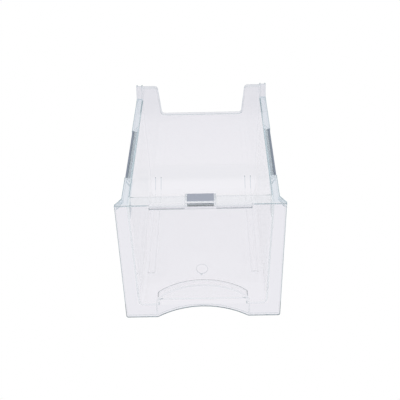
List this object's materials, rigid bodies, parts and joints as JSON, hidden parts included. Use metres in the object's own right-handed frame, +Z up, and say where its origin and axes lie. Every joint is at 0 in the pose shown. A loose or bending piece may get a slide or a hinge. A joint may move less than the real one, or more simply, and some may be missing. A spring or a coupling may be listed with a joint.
{
  "type": "refrigerator drawer",
  "caption": "Clear narrow refrigerator drawer with a wide flat front panel, hanging side rims, finger arch, low rear wall between tall stops and grey clipped-in glides.",
  "frame": {"origin": "centre of the footprint, at the height of the front panel's lower edge", "axes": "+Z up, -Y out of the front panel towards the user, +Y towards the rear wall, +X to the right seen from the front"},
  "size_m": [0.237, 0.3916, 0.2095],
  "materials": {
    "clear_plastic": "clear polished",
    "clip_grey": "satin",
    "glide_grey": "satin"
  },
  "bodies": {
    "root": {"drawer_body": "clear_plastic", "front_clip": "clip_grey", "left_glide_strip": "glide_grey", "right_glide_strip": "glide_grey"}
  },
  "joints": []
}
